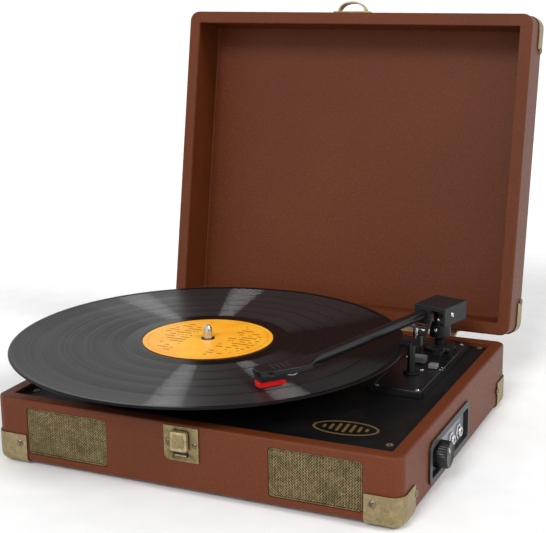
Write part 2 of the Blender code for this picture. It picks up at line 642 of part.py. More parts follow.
def build_tonearm_plate():
    plate = place("tonearm_plate", prism(rounded(PLATE_X0, PLATE_X1, PLATE_Y0, PLATE_Y1, 3 * MM, 3),
                                         DECK_TOP + GAP, PLATE_TOP), "black_plastic", smooth=False)
    guide_x = ARM_X + LIFT_REACH * math.cos(LIFT_TURN)
    guide_y = ARM_Y + LIFT_REACH * math.sin(LIFT_TURN)
    carve(plate, prism(circle(guide_x, guide_y, 4.4 * MM, 20), PLATE_TOP - 1 * MM, 60 * MM), "UNION")
    carve(plate, prism(circle(guide_x, guide_y, 2.5 * MM, 16), PLATE_TOP, 65 * MM))
    for x in (CUE_X - 3.9 * MM, CUE_X + 3.9 * MM):
        cheek = [(CUE_Y - 4 * MM, PLATE_TOP - 1 * MM), (CUE_Y + 4 * MM, PLATE_TOP - 1 * MM),
                 (CUE_Y + 3 * MM, CUE_Z + 3 * MM), (CUE_Y - 3 * MM, CUE_Z + 3 * MM)]
        carve(plate, prism(cheek, x - 0.9 * MM, x + 0.9 * MM, "X"), "UNION")
        carve(plate, prism(circle(CUE_Y, CUE_Z, 1.5 * MM, 12), x - 3 * MM, x + 3 * MM, "X"))
    ring = [(4.4 * MM, 56 * MM), (11 * MM, 56 * MM), (13 * MM, 54.5 * MM), (13 * MM, PLATE_TOP + GAP),
            (4.4 * MM, PLATE_TOP + GAP)]
    place("turret_base", turned(ring, 32, (ARM_X, ARM_Y, 0)), "black_plastic")

    tube_low = ARM_Z - TUBE_R
    post = turned([(0, 76 * MM), (3 * MM, 76 * MM), (3 * MM, 54 * MM), (6 * MM, 53 * MM),
                   (6 * MM, PLATE_TOP + GAP), (0, PLATE_TOP + GAP)], 20, (REST_X, REST_Y, 0))
    rest = place("arm_rest", post, "black_plastic")
    left, right, lip = REST_X - 7.5 * MM, REST_X + 8 * MM, REST_X + 4.5 * MM
    saddle = [(left, 74 * MM), (right, 74 * MM), (right, tube_low + 3.2 * MM),
              (lip, tube_low + 3.2 * MM), (lip, tube_low - 0.4 * MM), (left, tube_low - 0.4 * MM)]
    carve(rest, prism(saddle, REST_Y - 2.5 * MM, REST_Y + 2.5 * MM, "Y"), "UNION")

    clip_axis = axis("clip_axis", (REST_X + 6.6 * MM, REST_Y, tube_low + 5.6 * MM), (0, CLIP_OPEN, 0))
    hook = [(-1.4 * MM, -1.6 * MM), (1.4 * MM, -1.6 * MM), (1.4 * MM, 5 * MM), (-14 * MM, 5 * MM),
            (-14 * MM, 3 * MM), (-1.4 * MM, 3 * MM)]
    place("arm_clip", prism(hook, -2 * MM, 2 * MM, "Y"), "black_plastic", clip_axis, smooth=False)

    lever_axis = axis("cue_lever_axis", (CUE_X, CUE_Y, CUE_Z))
    hub = prism(circle(0, 0, 3 * MM, 16), -2.7 * MM, 2.7 * MM, "X")
    lever = place("cue_lever", hub, "black_plastic", lever_axis)
    carve(lever, prism(circle(0, 0, 1.2 * MM, 12), -4.6 * MM, 4.6 * MM, "X"), "UNION")
    carve(lever, rod(1.4 * MM, (0, 0, 0), (0, -20 * MM, 5 * MM), 12), "UNION")
    carve(lever, block(-3 * MM, 3 * MM, -27 * MM, -18 * MM, 4 * MM, 6.4 * MM), "UNION")

    lift_axis = axis("cue_lift_axis", (ARM_X, ARM_Y, 0))
    start, end = math.radians(-94), math.radians(-144)
    bar_top = tube_low - 1.9 * MM
    arc = circle(0, 0, 28.4 * MM, 10, start, end) + circle(0, 0, 24.6 * MM, 10, end, start)
    lift = place("cue_lift", prism(arc, bar_top - 2 * MM, bar_top), "black_plastic", lift_axis,
                 smooth=False)
    stem = (LIFT_REACH * math.cos(LIFT_TURN), LIFT_REACH * math.sin(LIFT_TURN))
    carve(lift, prism(circle(*stem, 2.1 * MM, 16), 55 * MM, bar_top - 1 * MM), "UNION")

    switches = (("speed_switch", SPEED_X, SPEED_Y, (6 * MM, 4 * MM, 5 * MM), 0.6 * MM),
                ("autostop_switch", AUTOSTOP_X, AUTOSTOP_Y, (3.5 * MM, 3 * MM, 3.4 * MM), 0.5 * MM))
    for name, x, y, (half_x, half_y, tall), edge in switches:
        slide = axis(f"{name}_slide", (x, y, PLATE_TOP + GAP))
        cap = prism(rounded(-half_x, half_x, -half_y, half_y, 0.8 * MM, 2), 0, tall)
        bevel(place(name, cap, "switch_grey", slide), edge)


def build_tonearm():
    swing = axis("arm_swing_axis", (ARM_X, ARM_Y, ARM_Z), (0, 0, ARM_TURN))
    post = [(0, 5 * MM), (5.5 * MM, 5 * MM), (5.5 * MM, -9 * MM), (8.5 * MM, -10 * MM),
            (8.5 * MM, -20 * MM),
            (4 * MM, -22 * MM), (4 * MM, PLATE_TOP + GAP - ARM_Z), (0, PLATE_TOP + GAP - ARM_Z)]
    yoke = place("arm_yoke", turned(post, 24), "black_plastic", swing)
    carve(yoke, prism(circle(0, 0, 1.5 * MM, 12), -COVER_W / 2 + 2.3 * MM, COVER_W / 2 - 2.3 * MM, "Y"),
          "UNION")

    lift = axis("arm_lift_axis", (0, 0, 0), parent=swing)
    high = COVER_TOP - ARM_Z
    low = high - COVER_H
    half_l, half_w = COVER_L / 2, COVER_W / 2
    cover = place("arm_cover", block(-half_l, half_l, -half_w, half_w, low, high), "black_plastic", lift,
                  smooth=False)
    wall = 2 * MM
    carve(cover, block(-half_l + wall, half_l - wall, -half_w + wall, half_w - wall, low - 5 * MM,
                       high - wall))
    arch = [(0, low - 5 * MM), (12 * MM, low - 5 * MM), (12 * MM, high - 5.5 * MM),
            (9.5 * MM, high - 3.6 * MM),
            (2.5 * MM, high - 3.6 * MM), (0, high - 5.5 * MM)]
    carve(cover, prism(arch, half_l - 4 * MM, half_l + 5 * MM, "X"))

    tube = place("arm_tube", rod(TUBE_R, (half_l + GAP, TUBE_SIDE, 0), (TUBE_END, TUBE_SIDE, 0), 20),
                 "black_plastic", lift)
    along = Vector((math.cos(HEAD_TURN), math.sin(HEAD_TURN)))
    across = Vector((-along.y, along.x))
    stylus = Vector((STYLUS_AT, STYLUS_SIDE))
    half = 8.5 * MM
    front_l, front_r = stylus + along * 5 * MM - across * half, stylus + along * 5 * MM + across * half
    rear_l, rear_r = stylus - along * 30 * MM - across * half, stylus - along * 30 * MM + across * half
    neck = [(TUBE_END - 4 * MM, TUBE_SIDE - 3.6 * MM), rear_l, front_l, front_r, rear_r,
            (TUBE_END - 4 * MM, TUBE_SIDE + 3.6 * MM)]
    carve(tube, prism([tuple(p) for p in neck], -0.6 * MM, 3.7 * MM), "UNION")
    weight = block(-13.5 * MM, -7.5 * MM, -11 * MM, 11 * MM, low + 1.5 * MM, high - 2.4 * MM)
    place("counterweight", weight, "steel", lift, smooth=False)

    tip_z = GROOVE_TOP + GAP - ARM_Z

    def head_box(back, front, side, z0, z1):
        corners = [stylus + along * a + across * b
                   for a, b in ((-back, -side), (front, -side), (front, side), (-back, side))]
        return prism([tuple(c) for c in corners], z0, z1)

    place("cartridge", head_box(17 * MM, 3 * MM, 5 * MM, -4.6 * MM, -0.9 * MM), "black_plastic", lift,
          smooth=False)
    needle = place("stylus", head_box(16 * MM, 4 * MM, 3.8 * MM, tip_z + 1.2 * MM, -4.9 * MM),
                   "stylus_red", lift,
                   smooth=False)
    tip = turned([(0, tip_z + 2 * MM), (1.3 * MM, tip_z + 2 * MM), (0.2 * MM, tip_z), (0, tip_z)], 8,
                 (stylus.x, stylus.y, 0))
    carve(needle, tip, "UNION")


def main():
    clear_scene()
    floor = bpy.data.objects.new("floor", None)
    bpy.context.scene.collection.objects.link(floor)
    floor.location = (0, 0, -FOOT_H)
    build_case()
    build_deck()
    build_grilles_and_speakers()
    build_latch()
    build_control_panel()
    build_lid()
    build_handle()
    build_platter()
    build_tonearm_plate()
    build_tonearm()


main()
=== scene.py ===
"""Looks of the suitcase record player: materials, fine detail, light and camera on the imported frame."""

import json
import math

import bmesh
import bpy
from mathutils import Matrix, Vector


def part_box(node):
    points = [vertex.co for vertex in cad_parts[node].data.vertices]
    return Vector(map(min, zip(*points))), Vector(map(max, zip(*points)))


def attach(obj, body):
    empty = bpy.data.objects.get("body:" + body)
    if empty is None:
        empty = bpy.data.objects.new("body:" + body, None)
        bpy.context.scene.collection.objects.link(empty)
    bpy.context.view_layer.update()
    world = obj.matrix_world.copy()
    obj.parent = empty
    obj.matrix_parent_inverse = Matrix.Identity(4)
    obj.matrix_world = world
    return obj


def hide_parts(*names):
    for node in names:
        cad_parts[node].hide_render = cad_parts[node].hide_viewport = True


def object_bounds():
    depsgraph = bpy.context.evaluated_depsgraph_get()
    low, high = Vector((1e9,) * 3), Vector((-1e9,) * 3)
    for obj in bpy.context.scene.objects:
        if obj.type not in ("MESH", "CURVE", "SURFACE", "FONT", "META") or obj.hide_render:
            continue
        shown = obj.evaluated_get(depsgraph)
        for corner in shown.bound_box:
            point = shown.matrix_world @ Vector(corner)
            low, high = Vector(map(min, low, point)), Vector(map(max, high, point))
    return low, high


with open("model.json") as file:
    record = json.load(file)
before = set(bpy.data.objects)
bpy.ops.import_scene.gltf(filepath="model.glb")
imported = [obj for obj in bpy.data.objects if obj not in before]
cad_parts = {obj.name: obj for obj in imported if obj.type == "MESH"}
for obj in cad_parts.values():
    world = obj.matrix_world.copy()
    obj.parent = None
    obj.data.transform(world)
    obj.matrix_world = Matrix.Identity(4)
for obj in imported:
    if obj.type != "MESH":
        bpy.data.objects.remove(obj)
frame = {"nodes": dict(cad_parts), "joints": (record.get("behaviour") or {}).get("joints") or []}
CAD_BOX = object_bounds()

MM = 0.001
FLOOR_Z = CAD_BOX[0].z
CASE_LO, CASE_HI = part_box("base_case")
DECK_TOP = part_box("deck_plate")[1].z
PLATE_LO, PLATE_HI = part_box("tonearm_plate")
PLATE_TOP = DECK_TOP + 4 * MM
RECORD_LO, RECORD_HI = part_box("record")
LABEL_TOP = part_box("record_label")[1].z
JOINTS = {joint["name"]: joint for joint in frame["joints"]}
HINGE = Vector(JOINTS["lid_hinge"]["pos_m"])
SPIN = Vector(JOINTS["platter_spin"]["pos_m"])
PIVOT = Vector(JOINTS["arm_swing"]["pos_m"])
LID_TURN = math.radians(-100.5)
ARM_TURN = math.radians(-104.6)
HEAD_TURN = math.radians(-26)
# ARM takes points from the arm's own axes, with the tube along X, and OPEN_LID from the closed lid.
ARM = Matrix.Translation(PIVOT) @ Matrix.Rotation(ARM_TURN, 4, "Z")
OPEN_LID = Matrix.Translation(HINGE) @ Matrix.Rotation(LID_TURN, 4, "X") @ Matrix.Translation(-HINGE)
UPRIGHT = Matrix(((1, 0, 0, 0), (0, 0, 1, 0), (0, 1, 0, 0), (0, 0, 0, 1)))
X, Y, Z = Vector((1, 0, 0)), Vector((0, 1, 0)), Vector((0, 0, 1))

RUN_OUT, LEAD_IN = 62.5 * MM, 146.5 * MM
TRACK_GAPS = (77.5 * MM, 94.5 * MM, 108.5 * MM, 126.5 * MM)


# ---------------------------------------------------------------- materials


class Graph:
    """A material's node tree, with short calls to add and join nodes."""

    def __init__(self, name):
        self.material = bpy.data.materials.new(name)
        self.material.use_nodes = True
        self.tree = self.material.node_tree
        self.shader = self.tree.nodes["Principled BSDF"]

    def add(self, kind, inputs=None, **settings):
        node = self.tree.nodes.new("ShaderNode" + kind)
        for key, value in settings.items():
            setattr(node, key, value)
        for key, value in (inputs or {}).items():
            self.join(value, node.inputs[key])
        return node

    def join(self, value, socket):
        if isinstance(value, bpy.types.NodeSocket):
            self.tree.links.new(value, socket)
        else:
            socket.default_value = value

    def set(self, **sockets):
        """Sets inputs of the Principled shader, with _ for each space in their names."""
        for key, value in sockets.items():
            self.join(value, self.shader.inputs[key.replace("_", " ")])

    def place(self):
        return self.add("TexCoord").outputs["Object"]

    def noise(self, scale, detail=4.0, roughness=0.55, vector=None):
        node = self.add("TexNoise", {"Vector": vector or self.place(), "Scale": scale, "Detail": detail,
                                     "Roughness": roughness})
        return node.outputs["Fac"]

    def cells(self, scale, vector):
        return self.add("TexVoronoi", {"Vector": vector, "Scale": scale}).outputs["Distance"]

    def span(self, value, low, high, out_low=0.0, out_high=1.0):
        node = self.add("MapRange", {"Value": value, "From Min": low, "From Max": high,
                                     "To Min": out_low, "To Max": out_high})
        return node.outputs["Result"]

    def math(self, operation, a, b=0.0):
        return self.add("Math", {0: a, 1: b}, operation=operation).outputs[0]

    def blend(self, fac, a, b):
        node = self.add("Mix", data_type="RGBA")
        self.join(fac, node.inputs[0])
        self.join(a, node.inputs[6])
        self.join(b, node.inputs[7])
        return node.outputs[2]

    def bump(self, height, distance, strength):
        node = self.add("Bump", {"Height": height, "Distance": distance, "Strength": strength})
        return node.outputs["Normal"]

    def near(self, value, centre, reach):
        """1 where the value is within reach of the centre, and 0 elsewhere."""
        return self.math("LESS_THAN", self.math("ABSOLUTE", self.math("SUBTRACT", value, centre)), reach)


def srgb(red, green, blue):
    """A colour from screen values of 0 to 255."""

    def linear(value):
        value /= 255
        return value / 12.92 if value <= 0.04045 else ((value + 0.055) / 1.055) ** 2.4

    return (linear(red), linear(green), linear(blue), 1.0)


def leatherette(name, dark, light, grain=1.0):
    """Pored and creased covering."""
    g = Graph(name)
    place = g.place()
    pores = g.cells(780.0, place)
    creases = g.noise(420.0, 5.0, 0.6, place)
    broad = g.noise(9.0, 2.0, 0.5, place)
    fine = g.noise(1500.0, 2.0, 0.5, place)
    tone = g.blend(g.span(broad, 0.3, 0.7), dark, light)
    tone = g.blend(g.span(pores, 0.15, 0.75, 0.22, 0.0), tone, (0.02, 0.006, 0.003, 1))
    tone = g.blend(g.span(creases, 0.58, 0.75, 0.0, 0.12), tone, srgb(170, 106, 70))
    height = g.math("ADD", g.math("MULTIPLY", pores, 0.7), g.math("MULTIPLY", creases, 0.5))
    height = g.math("ADD", height, g.math("MULTIPLY", fine, 0.18))
    g.set(Base_Color=tone, Roughness=g.span(creases, 0.3, 0.7, 0.4, 0.56), Specular_IOR_Level=0.22,
          Normal=g.bump(height, 0.22 * MM * grain, 0.65))
    return g.material


def antique_brass(name, dark, light, rough=0.36, worn=0.6):
    """Mottled brass with painted shade darkening its corners and hollows, and worn bright along its edges."""
    g = Graph(name)
    place = g.place()
    mottle = g.noise(330.0, 6.0, 0.75, place)
    patches = g.noise(90.0, 3.0, 0.55, place)
    speck = g.noise(1100.0, 3.0, 0.6, place)
    # Painted shade: the ambient occlusion node finds where nearby surfaces would shade the brass.
    occlusion_shade = g.add("AmbientOcclusion", {"Distance": 2.5 * MM}, samples=4).outputs["AO"]
    edge = g.add("NewGeometry").outputs["Pointiness"]
    tone = g.blend(g.span(mottle, 0.38, 0.62), dark, light)
    tone = g.blend(g.span(patches, 0.48, 0.68, 0.0, 0.55), tone, srgb(92, 78, 52))
    tone = g.blend(g.span(speck, 0.6, 0.7, 0.0, 0.6), tone, srgb(60, 50, 34))
    tone = g.blend(g.span(edge, 0.52, 0.6, 0.0, worn), tone, srgb(214, 198, 156))
    # Blends towards near-black where occluded, which paints shade into corners and between parts.
    tone = g.blend(g.span(occlusion_shade, 0.25, 0.8, 0.85, 0.0), tone, (0.012, 0.01, 0.007, 1))
    g.set(Base_Color=tone, Metallic=0.8, Roughness=g.span(mottle, 0.3, 0.7, rough, rough + 0.22),
          Normal=g.bump(g.math("ADD", mottle, speck), 0.16 * MM, 0.6))
    return g.material


def moulded_plastic(name, colour, rough, texture=0.05 * MM, dust=0.05, shine=0.35):
    """Finely grained plastic, rubber, cloth or print, a little paler where it is dusty."""
    g = Graph(name)
    place = g.place()
    grain = g.noise(1900.0, 3.0, 0.6, place)
    broad = g.noise(28.0, 4.0, 0.6, place)
    paler = tuple(min(1.0, c * 1.8 + 0.01) for c in colour[:3]) + (1.0,)
    g.set(Base_Color=g.blend(g.span(broad, 0.45, 0.8, 0.0, dust * 6), colour, paler),
          Roughness=g.span(broad, 0.3, 0.7, rough - 0.06, rough + 0.08),
          Normal=g.bump(grain, texture, 0.5), Specular_IOR_Level=shine)
    return g.material


def polished_metal(name, colour, rough):
    g = Graph(name)
    brushed = g.noise(900.0, 3.0, 0.6)
    g.set(Base_Color=g.blend(g.span(brushed, 0.3, 0.7, 0.0, 0.35), colour, (0.25, 0.25, 0.26, 1)),
          Metallic=1.0, Roughness=g.span(brushed, 0.3, 0.7, rough, rough + 0.12),
          Normal=g.bump(brushed, 0.02 * MM, 0.3))
    return g.material


def radial(g, centre):
    """Distance from a vertical axis and the flat vector from it, in metres."""
    moved = g.add("VectorMath", {0: g.place(), 1: tuple(-c for c in centre)}, operation="ADD")
    flat = g.add("VectorMath", {0: moved.outputs[0], 1: (1, 1, 0)}, operation="MULTIPLY")
    length = g.add("VectorMath", {0: flat.outputs[0]}, operation="LENGTH")
    return length.outputs["Value"], flat.outputs[0]


def grooved_vinyl(name):
    """Black vinyl in bands of tone, whose groove walls spread each light into a radial streak."""
    g = Graph(name)
    reach, _ = radial(g, SPIN)
    along = g.add("CombineXYZ", {"X": reach}).outputs["Vector"]
    bands = g.noise(260.0, 3.0, 0.7, along)
    fine = g.noise(3000.0, 2.0, 0.8, along)
    smooth = g.math("MAXIMUM", g.math("LESS_THAN", reach, RUN_OUT), g.math("GREATER_THAN", reach, LEAD_IN))
    for radius in TRACK_GAPS:
        smooth = g.math("MAXIMUM", smooth, g.near(reach, radius, 0.45 * MM))
    rough = g.math("ADD", g.span(bands, 0.3, 0.7, 0.24, 0.34), g.span(fine, 0.3, 0.7, -0.04, 0.04))
    rough = g.add("Mix", {"Factor": smooth, "A": rough, "B": 0.16}).outputs["Result"]
    tone = g.blend(g.span(bands, 0.35, 0.7), (0.003, 0.003, 0.0035, 1), (0.007, 0.007, 0.008, 1))
    tangent = g.add("Tangent", direction_type="RADIAL", axis="Z").outputs["Tangent"]
    g.set(Base_Color=tone, Roughness=rough, Tangent=tangent, Anisotropic=0.7, Specular_IOR_Level=0.08)
    walls = g.add("BsdfAnisotropic", {"Color": (1, 1, 1, 1), "Roughness": g.span(bands, 0.3, 0.7, 0.5, 0.62),
                                      "Anisotropy": 0.99, "Tangent": tangent})
    share = g.math("MULTIPLY", g.math("SUBTRACT", 1.0, smooth), g.span(fine, 0.3, 0.7, 0.034, 0.066))
    both = g.add("MixShader", {0: share})
    g.tree.links.new(g.shader.outputs[0], both.inputs[1])
    g.tree.links.new(walls.outputs[0], both.inputs[2])
    g.tree.links.new(both.outputs[0], g.tree.nodes["Material Output"].inputs["Surface"])
    return g.material


def paper_label(name):
    """Orange paper with a printed ring, a pressed ring and rows of plain dashes where print would be."""
    g = Graph(name)
    rows_per_metre, dashes_per_metre = 190.0, 150.0
    reach, flat = radial(g, SPIN)
    split = g.add("SeparateXYZ", {"Vector": flat})
    across, up = split.outputs["X"], split.outputs["Y"]
    fibres = g.noise(900.0, 4.0, 0.6)
    broad = g.noise(35.0, 3.0, 0.6)
    tone = g.blend(g.span(broad, 0.35, 0.7), srgb(250, 164, 20), srgb(255, 190, 44))
    tone = g.blend(g.span(fibres, 0.3, 0.7, 0.0, 0.12), tone, srgb(250, 200, 90))
    height = g.math("MULTIPLY", g.math("ADD", up, 1.0), rows_per_metre)
    line = g.math("MULTIPLY", g.math("LESS_THAN", g.math("FRACT", height), 0.34),
                  g.math("LESS_THAN", reach, 41 * MM))
    words = g.add("CombineXYZ", {"X": g.math("MULTIPLY", across, dashes_per_metre),
                                 "Y": g.math("MULTIPLY", g.math("FLOOR", height), 3.7)})
    dash = g.math("GREATER_THAN", g.noise(1.0, 1.0, 0.5, words.outputs["Vector"]), 0.5)
    side = g.math("GREATER_THAN", g.math("ABSOLUTE", across), 14 * MM)
    print_mask = g.math("MULTIPLY", g.math("MULTIPLY", line, dash), side)
    tone = g.blend(g.math("MULTIPLY", print_mask, 0.75), tone, srgb(120, 52, 16))
    printed_ring = g.near(reach, 46.2 * MM, 0.3 * MM)
    tone = g.blend(g.math("MULTIPLY", printed_ring, 0.45), tone, srgb(150, 70, 20))
    pressed_ring = g.near(reach, 16.5 * MM, 0.4 * MM)
    g.set(Base_Color=tone, Roughness=0.42,
          Normal=g.bump(g.math("SUBTRACT", fibres, pressed_ring), 0.1 * MM, 0.35))
    return g.material


def framed_panel(name, face_x):
    """A grey printed face in a black moulded frame: the frame is what stands proud of the face."""
    g = Graph(name)
    split = g.add("SeparateXYZ", {"Vector": g.place()})
    proud = g.math("GREATER_THAN", split.outputs["X"], face_x + 0.3 * MM)
    grain = g.noise(1500.0, 3.0, 0.6)
    face = g.blend(g.span(grain, 0.3, 0.7), srgb(112, 116, 122), srgb(132, 137, 143))
    g.set(Base_Color=g.blend(proud, face, (0.012, 0.012, 0.013, 1)),
          Roughness=g.add("Mix", {"Factor": proud, "A": 0.3, "B": 0.42}).outputs["Result"],
          Normal=g.bump(grain, 0.05 * MM, 0.4))
    return g.material


def fibre_board(name):
    g = Graph(name)
    stretched = g.add("Mapping", {"Vector": g.place(), "Scale": (1, 5, 1)}).outputs["Vector"]
    fibres = g.noise(500.0, 6.0, 0.7, stretched)
    g.set(Base_Color=g.blend(g.span(fibres, 0.3, 0.7), srgb(96, 66, 44), srgb(142, 106, 74)), Roughness=0.8,
          Normal=g.bump(fibres, 0.2 * MM, 0.4))
    return g.material


LOOKS = {
    "leatherette": leatherette("leatherette", srgb(91, 41, 13), srgb(99, 46, 19)),
    "lining": leatherette("lid_leatherette", srgb(88, 39, 10), srgb(95, 43, 14), 0.8),
    "brass": antique_brass("antique_brass", srgb(76, 63, 38), srgb(142, 122, 80)),
    "brass_bright": antique_brass("worn_brass", srgb(150, 131, 88), srgb(196, 178, 130), 0.3),
    "wire": antique_brass("grille_wire", srgb(104, 90, 62), srgb(150, 134, 96), 0.36, 0.0),
    "black": moulded_plastic("black_plastic", (0.005, 0.005, 0.0055, 1), 0.32),
    "satin": moulded_plastic("satin_black", (0.008, 0.008, 0.009, 1), 0.44, 0.12 * MM),
    "deck": moulded_plastic("deck_black", (0.004, 0.004, 0.0045, 1), 0.42, 0.18 * MM, 0.08, 0.2),
    "cloth": moulded_plastic("grille_cloth", (0.006, 0.005, 0.004, 1), 0.9, 0.3 * MM, 0.05, 0.1),
    "rubber": moulded_plastic("rubber", (0.02, 0.02, 0.02, 1), 0.8, 0.2 * MM),
    "grey": moulded_plastic("switch_grey", srgb(104, 104, 104), 0.5, 0.1 * MM),
    "red": moulded_plastic("stylus_red", srgb(196, 18, 16), 0.26, 0.02 * MM, 0.0),
    "board": moulded_plastic("circuit_board", (0.02, 0.1, 0.04, 1), 0.5),
    "white_plastic": moulded_plastic("white_print", srgb(205, 205, 200), 0.5),
    "steel": polished_metal("steel", (0.66, 0.66, 0.68, 1), 0.18),
    "screw_dark": antique_brass("screw_dark", srgb(84, 74, 54), srgb(150, 138, 112), 0.28, 0.3),
    "wire_lead": polished_metal("wire_lead", (0.72, 0.72, 0.72, 1), 0.25),
    "gold": moulded_plastic("printed_gold", srgb(104, 82, 46), 0.4),
    "vinyl": grooved_vinyl("vinyl"),
    "label": paper_label("paper_label"),
    "panel": framed_panel("control_panel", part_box("volume_pot")[0].x + 12 * MM),
    "fibreboard": fibre_board("fibreboard"),
}


# ---------------------------------------------------------------- geometry


def piece(name, bm, look, body, smooth=40, bevel=0.0, replaces=()):
    """Turns a bmesh in the row frame into a piece that rides on a body."""
    bmesh.ops.remove_doubles(bm, verts=bm.verts, dist=1e-7)
    bmesh.ops.recalc_face_normals(bm, faces=bm.faces)
    mesh = bpy.data.meshes.new(name)
    bm.to_mesh(mesh)
    bm.free()
    mesh.materials.append(LOOKS[look])
    mesh.shade_smooth()
    mesh.set_sharp_from_angle(angle=math.radians(smooth))
    obj = bpy.data.objects.new(name, mesh)
    bpy.context.scene.collection.objects.link(obj)
    if bevel:
        round_edges(obj, bevel)
    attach(obj, body)
    if replaces:
        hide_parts(*replaces)


def round_edges(obj, width, angle=35):
    step = obj.modifiers.new("edges", "BEVEL")
    step.width = width
    step.segments = 2
    step.limit_method = "ANGLE"
    step.angle_limit = math.radians(angle)
    step.harden_normals = True


def moved(bm, matrix):
    bmesh.ops.transform(bm, matrix=matrix, verts=bm.verts)
    return bm


def merged(*parts):
    """One bmesh that holds all the given ones."""
    whole = bmesh.new()
    for part in parts:
        mesh = bpy.data.meshes.new("part")
        part.to_mesh(mesh)
        part.free()
        whole.from_mesh(mesh)
        bpy.data.meshes.remove(mesh)
    return whole


def lathe(profile, steps=64):
    """A turned shape about Z from (radius, height) points."""
    bm = bmesh.new()
    rings = []
    angles = [2 * math.pi * i / steps for i in range(steps)]
    for radius, height in profile:
        round_it = angles if radius else angles[:1]
        rings.append([bm.verts.new((radius * math.cos(a), radius * math.sin(a), height)) for a in round_it])
    closed = [] if profile[0][0] == 0 else [(rings[-1], rings[0])]
    for a, b in list(zip(rings, rings[1:])) + closed:
        for i in range(steps):
            j = (i + 1) % steps
            corners = list(dict.fromkeys([a[i % len(a)], a[j % len(a)], b[j % len(b)], b[i % len(b)]]))
            if len(corners) > 2:
                bm.faces.new(corners)
    return bm


def slab(outline, low, high):
    """A flat plate between two heights."""
    bm = bmesh.new()
    ends = [[bm.verts.new((x, y, z)) for x, y in outline] for z in (low, high)]
    bm.faces.new(ends[0])
    bm.faces.new(ends[1])
    for i in range(len(outline)):
        j = (i + 1) % len(outline)
        bm.faces.new((ends[0][i], ends[0][j], ends[1][j], ends[1][i]))
    return bm


def rounded(x0, x1, y0, y1, radius, steps=6):
    """The outline of a rectangle with round corners."""
    points = []
    for x, y, quarter in ((x1, y1, 0), (x0, y1, 1), (x0, y0, 2), (x1, y0, 3)):
        cx = x - radius if x == x1 else x + radius
        cy = y - radius if y == y1 else y + radius
        for i in range(steps + 1):
            a = math.pi / 2 * (quarter + i / steps)
            points.append((cx + radius * math.cos(a), cy + radius * math.sin(a)))
    return points


def smooth_path(points, count):
    """Points spaced along a Catmull-Rom curve through the given ones."""
    ends = [points[0] * 2 - points[1]] + list(points) + [points[-1] * 2 - points[-2]]
    out = []
    for k in range(len(points) - 1):
        a, b, c, d = ends[k:k + 4]
        for i in range(count):
            t = i / count
            out.append(0.5 * (2 * b + (c - a) * t + (2 * a - 5 * b + 4 * c - d) * t * t
                              + (3 * b - a - 3 * c + d) * t * t * t))
    return out + [points[-1]]


def sweep(path, size, sides=12, square=2.0, up=Z):
    """A tube along a path. size is its half width and half height, or gives them for t from 0 to 1."""
    bm = bmesh.new()
    rings = []
    for k, point in enumerate(path):
        ahead = path[min(k + 1, len(path) - 1)] - path[max(k - 1, 0)]
        side = ahead.cross(up).normalized()
        rise = side.cross(ahead).normalized()
        half_w, half_h = size(k / (len(path) - 1)) if callable(size) else size
        ring = []
        for i in range(sides):
            a = 2 * math.pi * i / sides
            c, s = math.cos(a), math.sin(a)
            c = math.copysign(abs(c) ** (2 / square), c)
            s = math.copysign(abs(s) ** (2 / square), s)
            ring.append(bm.verts.new(point + side * half_w * c + rise * half_h * s))
        rings.append(ring)
    for a, b in zip(rings, rings[1:]):
        for i in range(sides):
            j = (i + 1) % sides
            bm.faces.new((a[i], a[j], b[j], b[i]))
    bm.faces.new(rings[0])
    bm.faces.new(rings[-1])
    return bm


def facing(normal):
    """Turns Z to the given direction."""
    return Vector(normal).to_track_quat("Z", "Y").to_matrix().to_4x4()


def screw_shape(radius, height):
    """A domed head with a cross recess."""
    bm = bmesh.new()
    spokes, shells = 32, (0.0, 0.2, 0.42, 0.6, 0.78, 0.92, 1.0)
    rings = []
    for share in shells:
        ring = []
        for i in range(spokes):
            a = 2 * math.pi * i / spokes
            x, y = share * math.cos(a), share * math.sin(a)
            slot = min(abs(x), abs(y)) < 0.15 and max(abs(x), abs(y)) < 0.68
            top = height * (1 - 0.75 * share ** 3) - (0.55 * height if slot else 0)
            ring.append(bm.verts.new((radius * x, radius * y, top)))
        rings.append(ring)
    rings.append([bm.verts.new((v.co.x, v.co.y, -0.2 * height)) for v in rings[-1]])
    for a, b in zip(rings, rings[1:]):
        for i in range(spokes):
            j = (i + 1) % spokes
            bm.faces.new((a[i], a[j], b[j], b[i]))
    bm.faces.new(rings[-1])
    return bm


def screws(name, places, radius, look, body, height=0.8 * MM):
    """Several screws of one kind: each place is a point and the direction it faces."""
    parts = []
    for k, (point, normal) in enumerate(places):
        spin = Matrix.Rotation(0.5 + 1.3 * k, 4, "Z")
        parts.append(moved(screw_shape(radius, height), Matrix.Translation(point) @ facing(normal) @ spin))
    piece(name, merged(*parts), look, body)


def dress(node, look, bevel=0.0):
    """Gives a CAD node its finish and softens its edges, leaving its mesh as it is."""
    obj = frame["nodes"][node]
    obj.data.materials.clear()
    obj.data.materials.append(LOOKS[look])
    weld = obj.modifiers.new("weld", "WELD")
    weld.merge_threshold = 1e-6
    if bevel:
        round_edges(obj, bevel)


# ---------------------------------------------------------------- case and lid


def turned(turn, places):
    """Screw places carried by a turn: the points move and their directions turn with them."""
    return [(turn @ point, turn.to_3x3() @ normal) for point, normal in places]


def corner_screws(body, turn, height, name):
    """The two screws in each sheet corner: one on the front or back, one on the side."""
    sheet, in_x, in_y = 1.25 * MM, 19.5 * MM, 26.5 * MM
    places = []
    for sx in (-1, 1):
        for sy in (-1, 1):
            places.append((Vector((sx * (CASE_HI.x - in_x), sy * (CASE_HI.y + sheet), height)), sy * Y))
            places.append((Vector((sx * (CASE_HI.x + sheet), sy * (CASE_HI.y - in_y), height)), sx * X))
    screws(name, turned(turn, places), 2.7 * MM, "screw_dark", body, 1.0 * MM)


